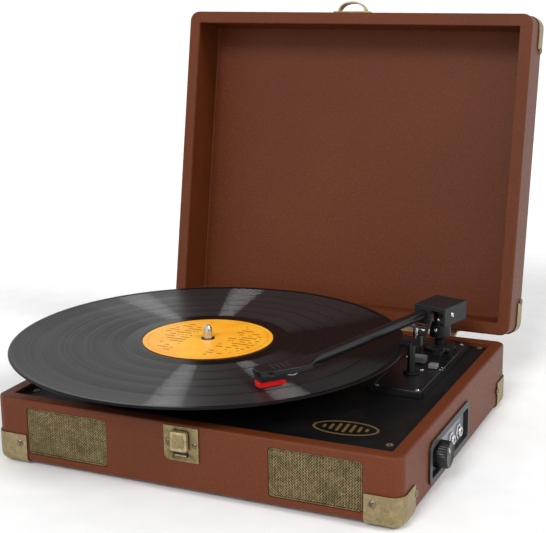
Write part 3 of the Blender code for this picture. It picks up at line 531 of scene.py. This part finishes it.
def build_case():
    for node, look, bevel in (("base_case", "leatherette", 0), ("lid_shell", "lining", 0),
                              ("base_bottom", "fibreboard", 0.4 * MM), ("deck_plate", "deck", 0.4 * MM)):
        dress(node, look, bevel)
    corners = [f"{end}_{side}" for end in ("front", "rear") for side in ("left", "right")]
    for corner in corners:
        dress(f"base_corner_{corner}", "brass", 0.25 * MM)
        dress(f"lid_corner_{corner}", "brass", 0.25 * MM)
        dress(f"foot_{corner}", "rubber", 0.3 * MM)
    corner_screws("case", Matrix(), 14.5 * MM, "base_corner_screws")
    corner_screws("lid", OPEN_LID, CASE_HI.z + 31 * MM, "lid_corner_screws")
    deck = [(Vector((x * MM, y * MM, DECK_TOP)), Z) for y in (-103, 117) for x in (137, -138)]
    screws("deck_screws", deck, 2.6 * MM, "screw_dark", "case")
    under = [(Vector((x * MM, y * MM, 0)), -Z) for x in (-138, 0, 138) for y in (-112, 112)]
    screws("bottom_screws", under, 3 * MM, "screw_dark", "case")


def build_seams():
    """A narrow piped seam round the lid's rim and the case's rim, where the covering is turned in."""
    inward = 9.6 * MM
    half_w, half_d = CASE_HI.x - inward, CASE_HI.y - inward
    outline = rounded(-half_w, half_w, -half_d, half_d, 1.6 * MM, 4)
    for name, body, turn, z in (("case_seam", "case", Matrix(), CASE_HI.z - 0.9 * MM),
                                ("lid_seam", "lid", OPEN_LID, CASE_HI.z + 0.9 * MM)):
        path = [Vector((x, y, z)) for x, y in outline]
        loop = sweep(path + path[:1], (0.55 * MM, 0.55 * MM), 6)
        piece(name, moved(loop, turn), "leatherette", body)


def build_grille(side):
    """Two layers of crossed wires over dark cloth, in a thin pressed frame."""
    low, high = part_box(f"grille_{side}")
    middle = (low + high) / 2
    half_w, half_h = (high.x - low.x) / 2, (high.z - low.z) / 2
    pitch, thick, wave, edge = 1.42 * MM, 0.36 * MM, 0.24 * MM, 0.8 * MM
    count = int((half_w + half_h) / math.sqrt(2) / pitch)
    wires = []
    for way in (1, -1):
        for k in range(-count, count + 1):
            run = []
            for i in range(-2 * count, 2 * count + 1):
                along = i * pitch / 2
                x = (along - way * k * pitch) / math.sqrt(2)
                z = (way * along + k * pitch) / math.sqrt(2)
                if abs(x) < half_w - edge and abs(z) < half_h - edge:
                    lift = wave * math.cos(math.pi * (along / pitch + k)) * way
                    run.append(Vector((middle.x + x, low.y + 0.75 * MM - lift, middle.z + z)))
            if len(run) > 2:
                wires.append(sweep(run, (thick, thick * 0.7), 4, up=Y))
    piece(f"grille_weave_{side}", merged(*wires), "wire", "case", smooth=80, replaces=(f"grille_{side}",))
    centred = Matrix.Translation((middle.x, 0, middle.z)) @ UPRIGHT
    cloth = slab(rounded(-half_w, half_w, -half_h, half_h, 2.6 * MM), high.y - 0.25 * MM, high.y)
    piece(f"grille_cloth_{side}", moved(cloth, centred), "cloth", "case")
    half_w -= 0.45 * MM
    half_h -= 0.45 * MM
    path = [Vector((middle.x + x, low.y + 0.5 * MM, middle.z + z))
            for x, z in rounded(-half_w, half_w, -half_h, half_h, 2.3 * MM)]
    piece(f"grille_band_{side}", sweep(path + path[:1], (0.5 * MM, 0.5 * MM), 6, up=Y), "wire", "case")


def build_latch():
    dress("latch_plate", "brass", 0.3 * MM)
    dress("latch_lever", "brass_bright", 0.5 * MM)
    dress("latch_keeper", "brass_bright", 0.2 * MM)
    low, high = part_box("latch_plate")
    x_mid, z_mid = (low.x + high.x) / 2, (low.z + high.z) / 2
    spots = [Vector((x_mid + sx * 10.4 * MM, low.y, z_mid + 0.3 * MM)) for sx in (-1, 1)]
    screws("latch_screws", [(p, -Y) for p in spots], 1.9 * MM, "screw_dark", "case", 0.7 * MM)
    dome = [(0, 0.5 * MM), (0.7 * MM, 0.4 * MM), (1 * MM, 0), (1 * MM, -0.3 * MM), (0, -0.3 * MM)]
    rivets = [moved(lathe(dome, 14), Matrix.Translation((x, low.y, high.z - 1.4 * MM)) @ facing(-Y))
              for x in (x_mid - 4.2 * MM, x_mid + 4.2 * MM)]
    piece("latch_rivets", merged(*rivets), "screw_dark", "case")
    pin = [Vector((x_mid + sx * 4.4 * MM, low.y - 0.2 * MM, low.z + 4.4 * MM)) for sx in (-1, 1)]
    piece("latch_pin", sweep(pin, (0.7 * MM, 0.7 * MM), 12), "screw_dark", "case")
    # A thin black slab on the plate's face behind the pin, as painted shadow for the shade in the gap under
    # the lever.
    slot = rounded(x_mid - 6 * MM, x_mid + 5 * MM, low.z + 3.4 * MM, low.z + 7.8 * MM, 0.8 * MM, 3)
    piece("latch_painted_shadow", moved(slab(slot, low.y - 0.08 * MM, low.y + 0.4 * MM), UPRIGHT), "black", "case")
    lever_lo, lever_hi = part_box("latch_lever")
    pad = rounded(lever_lo.x + 2.2 * MM, lever_hi.x - 2.2 * MM, lever_lo.z + 2.6 * MM, lever_hi.z - 2.2 * MM,
                  1 * MM, 3)
    raised = moved(slab(pad, lever_lo.y - 0.45 * MM, lever_lo.y + 0.3 * MM), UPRIGHT)
    piece("latch_pad", raised, "brass", "latch_lever", bevel=0.3 * MM)


def build_hinges():
    """Three screws in each leaf: the lower leaves on the case, the upper ones on the lid."""
    for side, sign in (("left", -1), ("right", 1)):
        dress(f"hinge_lower_{side}", "brass", 0.2 * MM)
        dress(f"hinge_upper_{side}", "brass", 0.2 * MM)
        for leaf, body, turn, z in (("lower", "case", Matrix(), HINGE.z - 14 * MM),
                                    ("upper", "lid", OPEN_LID, CASE_HI.z + 13 * MM)):
            row = [(Vector(((sign * 88 + dx) * MM, CASE_HI.y + 1.5 * MM, z)), Y) for dx in (-16, 0, 16)]
            screws(f"hinge_{leaf}_screws_{side}", turned(turn, row), 1.8 * MM, "screw_dark", body, 0.6 * MM)


def build_handle():
    """A stitched grip on two pins, with four screws in its brackets."""
    for end in ("front", "rear"):
        dress(f"handle_bracket_{end}", "brass", 0.3 * MM)
    spots = [Vector((CASE_LO.x - 1.8 * MM, y * MM, z * MM)) for y in (-50, 50) for z in (28.5, 40.5)]
    screws("handle_screws", [(p, -X) for p in spots], 1.7 * MM, "screw_dark", "case", 0.6 * MM)
    low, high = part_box("handle")
    x_mid = (low.x + high.x) / 2
    pivot = Vector(JOINTS["handle_swing"]["pos_m"])
    half, bottom = 53.3 * MM, low.z + 4.3 * MM
    bend = [(half, pivot.z + 1.5 * MM), (half, pivot.z - 6 * MM), (half - 1.2 * MM, bottom + 5 * MM),
            (half - 7 * MM, bottom)]
    route = [Vector((x_mid, -y, z)) for y, z in bend] + [Vector((x_mid, 0, bottom))]
    route += [Vector((x_mid, y, z)) for y, z in reversed(bend)]

    def girth(t):
        middle = max(0.0, 1 - abs(t - 0.5) / 0.3)
        return (3.1 * MM, 2.7 * MM + 1.4 * MM * middle ** 0.5)

    grip = sweep(smooth_path(route, 8), girth, 18, 2.8, up=X)
    piece("handle_grip", grip, "leatherette", "handle", replaces=("handle",))
    stitches = []
    for dz in (-2.6, 2.6):
        for k in range(-12, 13):
            ends = [Vector((x_mid - out * MM, (k * 3 + dy) * MM, bottom + dz * MM))
                    for out, dy in ((3.1, -1), (3.25, 0), (3.1, 1))]
            stitches.append(sweep(ends, (0.28 * MM, 0.28 * MM), 6))
    piece("handle_stitches", merged(*stitches), "gold", "handle")
    pins = []
    for sign in (-1, 1):
        ends = [Vector((pivot.x, sign * 52 * MM, pivot.z)), Vector((pivot.x, sign * 61.5 * MM, pivot.z))]
        pins.append(sweep(ends, (1.3 * MM, 1.3 * MM), 14))
    piece("handle_pins", merged(*pins), "screw_dark", "handle")


# ---------------------------------------------------------------- controls


def build_jacks():
    """A six-sided nut and a black core in each of the two jacks."""
    nut = [(4.2 * MM, 0.1 * MM), (6 * MM, 0.1 * MM), (6 * MM, 1.1 * MM), (5.4 * MM, 1.5 * MM),
           (4.2 * MM, 1.5 * MM)]
    core = [(0, -4 * MM), (1.7 * MM, -4 * MM), (1.7 * MM, 2.2 * MM), (0.8 * MM, 2.2 * MM),
            (0.8 * MM, -3 * MM), (0, -3 * MM)]
    for node in ("aux_jack", "headphone_jack"):
        dress(node, "steel", 0.2 * MM)
        low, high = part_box(node)
        panel_face = CASE_HI.x - 2.5 * MM
        place = Matrix.Translation((panel_face, (low.y + high.y) / 2, (low.z + high.z) / 2)) @ facing(X)
        piece(f"{node}_nut", moved(lathe(nut, 6), place), "steel", "case", bevel=0.15 * MM)
        piece(f"{node}_core", moved(lathe(core, 20), place), "black", "case")


def build_volume():
    """A ribbed knob with a pale mark, and dots for its scale."""
    pivot = Vector(JOINTS["volume_turn"]["pos_m"])
    profile = [(0, 10.2 * MM), (6.8 * MM, 10.2 * MM), (7.2 * MM, 10.5 * MM), (8.6 * MM, 10.5 * MM),
               (9.3 * MM, 9.9 * MM), (9.6 * MM, 9.2 * MM), (9.9 * MM, 2 * MM), (9.9 * MM, 0.5 * MM),
               (3.3 * MM, 0.5 * MM), (3.3 * MM, 6.4 * MM), (0, 6.4 * MM)]
    ribs, depth = 40, 0.35 * MM
    knob = lathe(profile, 3 * ribs)
    for v in knob.verts:
        reach = math.hypot(v.co.x, v.co.y)
        if reach > 9 * MM and 1.5 * MM < v.co.z < 9.95 * MM:
            cut = depth * (0.5 - 0.5 * math.cos(ribs * math.atan2(v.co.y, v.co.x)))
            v.co.x *= 1 - cut / reach
            v.co.y *= 1 - cut / reach
    place = Matrix.Translation(pivot) @ facing(X)
    piece("volume_knob_ribbed", moved(knob, place), "black", "volume_knob", replaces=("volume_knob",))
    mark = slab(rounded(-0.45 * MM, 0.45 * MM, 2.5 * MM, 8.2 * MM, 0.4 * MM, 3), 10.1 * MM, 10.65 * MM)
    turn = Matrix.Rotation(math.radians(35), 4, "Z")
    piece("volume_mark", moved(mark, place @ turn), "white_plastic", "volume_knob")
    dot = [(0, 0.12 * MM), (0.45 * MM, 0.12 * MM), (0.45 * MM, -0.1 * MM), (0, -0.1 * MM)]
    dots = []
    for k in range(11):
        a = math.radians(-60 - 30 * k)
        spot = Matrix.Translation(pivot + 11.6 * MM * Vector((0, math.sin(a), -math.cos(a))))
        dots.append(moved(lathe(dot, 10), spot @ facing(X)))
    piece("volume_dots", merged(*dots), "white_plastic", "case")


def build_controls():
    for node, look, bevel in (("control_panel", "panel", 0.3 * MM), ("volume_pot", "steel", 0),
                              ("dc_jack", "black", 0.2 * MM), ("amplifier_board", "board", 0)):
        dress(node, look, bevel)
    build_jacks()
    build_volume()


# ---------------------------------------------------------------- turntable


def build_record():
    """The grooved disc, with its smooth gaps a hair lower than the tracks and its rim raised."""
    top, bottom = RECORD_HI.z, RECORD_LO.z
    groove = top - 0.4 * MM
    hole, rim = 3.9 * MM, 151 * MM
    profile = [(hole, groove - 0.1 * MM), (50.4 * MM, groove - 0.1 * MM), (50.9 * MM, groove + 0.12 * MM),
               (53 * MM, groove)]
    for radius in (RUN_OUT, *TRACK_GAPS):
        profile += [(radius - 0.6 * MM, groove), (radius - 0.4 * MM, groove - 0.012 * MM),
                    (radius + 0.4 * MM, groove - 0.012 * MM), (radius + 0.6 * MM, groove)]
    profile += [(146 * MM, groove), (147.5 * MM, groove + 0.15 * MM), (149 * MM, top - 0.05 * MM),
                (rim - 0.8 * MM, top), (rim - 0.25 * MM, top - 0.25 * MM), (rim, top - 0.8 * MM),
                (rim - 0.3 * MM, top - 1.4 * MM), (rim - 1.2 * MM, bottom), (hole, bottom)]
    disc = moved(lathe(profile, 240), Matrix.Translation((SPIN.x, SPIN.y, 0)))
    piece("record_grooved", disc, "vinyl", "turntable", smooth=30, replaces=("record",))
    collar = lathe([(3.65 * MM, 0), (5.4 * MM, 0), (5.2 * MM, 0.35 * MM), (3.65 * MM, 0.4 * MM)], 40)
    on_label = Matrix.Translation((SPIN.x, SPIN.y, LABEL_TOP + 0.02 * MM))
    piece("label_eyelet", moved(collar, on_label), "black", "turntable")


def build_turntable():
    dress("platter", "satin", 0.3 * MM)
    for node, look in (("platter_mat", "rubber"), ("spindle", "steel"), ("bearing_bush", "steel"),
                       ("motor_pulley", "brass_bright"), ("motor_can", "steel"), ("drive_belt", "rubber"),
                       ("record_label", "label"), ("speaker_left", "black"), ("speaker_right", "black")):
        dress(node, look)
    build_record()
    low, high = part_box("platter")
    count, reach = 120, 96.05 * MM
    ribs = []
    for k in range(count):
        a = 2 * math.pi * k / count
        outward = Vector((math.cos(a), math.sin(a), 0))
        base = Vector((SPIN.x, SPIN.y, 0)) + reach * outward
        ends = [base + (low.z + 2 * MM) * Z, base + (high.z - 2.5 * MM) * Z]
        ribs.append(sweep(ends, (0.7 * MM, 0.5 * MM), 6, up=outward))
    piece("platter_ribs", merged(*ribs), "satin", "turntable")


def build_badge():
    """A generic printed ornament on the deck: an oval ring with seven plain bars in it."""
    turn = Matrix.Translation((100 * MM, -86 * MM, DECK_TOP)) @ Matrix.Rotation(math.radians(4), 4, "Z")
    long_half, short_half, bar_half = 22.5 * MM, 11.5 * MM, 1.1 * MM
    angles = [2 * math.pi * k / 72 for k in range(73)]
    path = [Vector((long_half * math.cos(a), short_half * math.sin(a), 0.05 * MM)) for a in angles]
    parts = [sweep(path, (0.9 * MM, 0.12 * MM), 8)]
    for k, half in enumerate((2.5, 4.6, 6.6, 7.6, 6.6, 4.6, 2.5)):
        x = (k - 3) * 5 * MM
        bar = rounded(x - bar_half, x + bar_half, -half * MM, half * MM, 1 * MM, 4)
        parts.append(slab(bar, -0.05 * MM, 0.15 * MM))
    piece("deck_ornament", moved(merged(*parts), turn), "gold", "case")


# ---------------------------------------------------------------- tonearm


def build_arm():
    """The bent tube that flattens into a headshell, with ridges, a finger lift and four leads."""
    side = -6.4 * MM
    along = Vector((math.cos(HEAD_TURN), math.sin(HEAD_TURN), 0))
    across = Vector((-along.y, along.x, 0))
    tip = Vector((201 * MM, -17.4 * MM, 0))

    def at(forward, left, height):
        """A point in the headshell's own directions from its tip, in millimetres."""
        return tip + along * forward * MM + across * left * MM + Z * height * MM

    straight = ((16.8, 0, 0), (60, 0, 0), (110, 0, 0), (146, 0, 0.2), (160, -0.6, 0.9))
    route = [Vector((x * MM, side + y * MM, z * MM)) for x, y, z in straight] + [at(-30, 0, 1.4)]

    def tube_size(t):
        flat = min(1.0, max(0.0, (t - 0.62) / 0.3))
        return (3.9 * MM + 2.2 * MM * flat, 3.9 * MM - 1.8 * MM * flat)

    tube = sweep(smooth_path(route, 8), tube_size, 20, 2.4)
    stations = ((-36, 5.6), (-30, 7.4), (-22, 8.5), (-8, 8.5), (1, 8.1), (4, 6.6), (5, 4.8))
    outline = [at(a, b, 0) for a, b in stations] + [at(a, -b, 0) for a, b in reversed(stations)]
    shell = slab([(p.x, p.y) for p in outline], -0.6 * MM, 3.6 * MM)
    piece("arm_tube_shaped", moved(merged(tube, shell), ARM), "black", "arm", bevel=0.8 * MM,
          replaces=("arm_tube",))
    ridges = [sweep([at(a, -5, 3.6), at(a, 5, 3.6)], (0.45 * MM, 0.35 * MM), 8) for a in (-20, -16, -12, -8)]
    piece("head_ridges", moved(merged(*ridges), ARM), "black", "arm")
    lift = smooth_path([at(-4, 8, 1.8), at(-2, 13, 2), at(1, 18, 3.8), at(2, 21, 5.2)], 5)
    piece("finger_lift", moved(sweep(lift, (1.9 * MM, 0.55 * MM), 10, 3), ARM), "black", "arm")
    leads = []
    for k in range(4):
        left = (k - 1.5) * 2.1
        start, bend = at(-17, left, -2.4), at(-22, left * 1.25, -3.4 + 0.4 * (k % 2))
        leads.append(sweep(smooth_path([start, bend, at(-29, left * 0.6, -0.7)], 6), (0.5 * MM, 0.5 * MM), 8))
        leads.append(sweep([start, at(-19.2, left, -2.4)], (0.7 * MM, 0.7 * MM), 10))
    piece("cartridge_leads", moved(merged(*leads), ARM), "wire_lead", "arm")


def build_arm_screws():
    cover = [(Vector((5.5 * MM, 14.05 * MM, 0.5 * MM)), Y)]
    screws("cover_screw", turned(ARM, cover), 1.9 * MM, "steel", "arm", 0.9 * MM)
    yoke = [(Vector((5.6 * MM, 1.5 * MM, -6 * MM)), Vector((1, 0.25, 0))),
            (Vector((8.4 * MM, 1 * MM, -14 * MM)), Vector((1, 0.1, 0)))]
    screws("yoke_screws", turned(ARM, yoke), 1.3 * MM, "steel", "yoke", 0.6 * MM)


def build_arm_plate():
    """Screws, a raised line inside the edge and five printed marks on the plate under the arm."""
    spots = [(Vector((x * MM, y * MM, PLATE_TOP)), Z)
             for x, y in ((114.5, 36), (94, -8), (125, -8), (125, 108), (95, 62))]
    screws("plate_screws", spots, 1.8 * MM, "steel", "case", 0.7 * MM)
    inward = 3 * MM
    outline = rounded(PLATE_LO.x + inward, PLATE_HI.x - inward, PLATE_LO.y + inward, PLATE_HI.y - inward,
                      2 * MM, 4)
    path = [Vector((x, y, PLATE_TOP + 0.05 * MM)) for x, y in outline]
    piece("plate_ridge", sweep(path + path[:1], (0.5 * MM, 0.4 * MM), 6), "black", "case")
    marks = []
    for x, y in ((97.5, 50), (97.5, 54), (97.5, 58), (126, 42), (126, 47)):
        mark = rounded(x * MM, (x + 3.2) * MM, y * MM, (y + 0.9) * MM, 0.3 * MM, 2)
        marks.append(slab(mark, PLATE_TOP - 0.02 * MM, PLATE_TOP + 0.08 * MM))
    piece("plate_marks", merged(*marks), "white_plastic", "case")


def build_tonearm():
    for node, look, bevel in (("tonearm_plate", "black", 0.5 * MM), ("turret_base", "black", 0.4 * MM),
                              ("arm_rest", "black", 0.3 * MM), ("arm_clip", "black", 0.3 * MM),
                              ("cue_lever", "black", 0.2 * MM), ("cue_lift", "steel", 0.2 * MM),
                              ("arm_yoke", "black", 0.3 * MM), ("arm_cover", "satin", 0.7 * MM),
                              ("counterweight", "steel", 0.4 * MM), ("cartridge", "black", 0.4 * MM),
                              ("stylus", "red", 0.7 * MM), ("speed_switch", "grey", 0.3 * MM),
                              ("autostop_switch", "grey", 0.3 * MM)):
        dress(node, look, bevel)
    build_arm()
    build_arm_screws()
    build_arm_plate()


# ---------------------------------------------------------------- light, floor and camera


def sun(name, azimuth, elevation, strength, spread):
    """A soft light from an azimuth, counted in degrees from +X towards +Y, and an elevation."""
    data = bpy.data.lights.new(name, "SUN")
    data.energy = strength
    data.angle = math.radians(spread)
    obj = bpy.data.objects.new(name, data)
    bpy.context.scene.collection.objects.link(obj)
    a, e = math.radians(azimuth), math.radians(elevation)
    towards = Vector((math.cos(a) * math.cos(e), math.sin(a) * math.cos(e), math.sin(e)))
    obj.rotation_mode = "QUATERNION"
    obj.rotation_quaternion = towards.to_track_quat("Z", "Y")


def build_floor():
    g = Graph("studio_floor")
    speckle = g.noise(40.0, 3.0, 0.5)
    tone = g.blend(g.span(speckle, 0.3, 0.7), (0.93, 0.93, 0.93, 1), (0.97, 0.97, 0.97, 1))
    g.set(Base_Color=tone, Roughness=0.7)
    bm = bmesh.new()
    half_width = 40  # metres, so that the edge is out of sight
    bmesh.ops.create_grid(bm, x_segments=2, y_segments=2, size=half_width)
    bmesh.ops.translate(bm, vec=(0, 0, FLOOR_Z), verts=bm.verts)
    mesh = bpy.data.meshes.new("floor")
    bm.to_mesh(mesh)
    bm.free()
    mesh.materials.append(g.material)
    floor = bpy.data.objects.new("floor", mesh)
    bpy.context.scene.collection.objects.link(floor)


def build_sky():
    """White light, brighter towards the horizon than overhead."""
    world = bpy.data.worlds.new("studio")
    world.use_nodes = True
    nodes, links = world.node_tree.nodes, world.node_tree.links
    towards = nodes.new("ShaderNodeSeparateXYZ")
    links.new(nodes.new("ShaderNodeTexCoord").outputs["Generated"], towards.inputs[0])
    fade = nodes.new("ShaderNodeMapRange")
    links.new(towards.outputs["Z"], fade.inputs["Value"])
    for socket, value in (("From Min", 0.3), ("From Max", 0.8), ("To Min", 1.0), ("To Max", 0.42)):
        fade.inputs[socket].default_value = value
    links.new(fade.outputs["Result"], nodes["Background"].inputs["Strength"])
    nodes["Background"].inputs["Color"].default_value = (1, 1, 1, 1)
    bpy.context.scene.world = world


def build_camera():
    """The photograph's view, solved from the case's and the lid's corners and the record's outline."""
    azimuth, elevation, roll = (math.radians(a) for a in (-24.6226, 14.2367, 0.8506))
    ahead = Vector((math.sin(azimuth) * math.cos(elevation), math.cos(azimuth) * math.cos(elevation),
                    -math.sin(elevation)))
    right = ahead.cross(Vector((0, 0, 1))).normalized()
    down = ahead.cross(right)
    across = right * math.cos(roll) + down * math.sin(roll)
    below = -right * math.sin(roll) + down * math.cos(roll)
    data = bpy.data.cameras.new("camera")
    data.sensor_width, data.lens = 36, 81.9587
    data.shift_x, data.shift_y = 0.0026, 0.00156
    data.clip_start, data.clip_end = 0.05, 20
    camera = bpy.data.objects.new("camera", data)
    bpy.context.scene.collection.objects.link(camera)
    turn = Matrix((across, -below, -ahead)).transposed().to_4x4()
    camera.matrix_world = Matrix.Translation((0.38369, -0.82141, 0.35679)) @ turn
    bpy.context.scene.camera = camera


build_camera()
build_floor()
build_sky()
sun("key", -92, 38, 1.6, 20)
sun("side", -8, 38, 1.35, 20)
bpy.context.scene.view_settings.view_transform = "Standard"
build_case()
build_seams()
for side in ("left", "right"):
    build_grille(side)
build_latch()
build_hinges()
build_handle()
build_controls()
build_turntable()
build_badge()
build_tonearm()
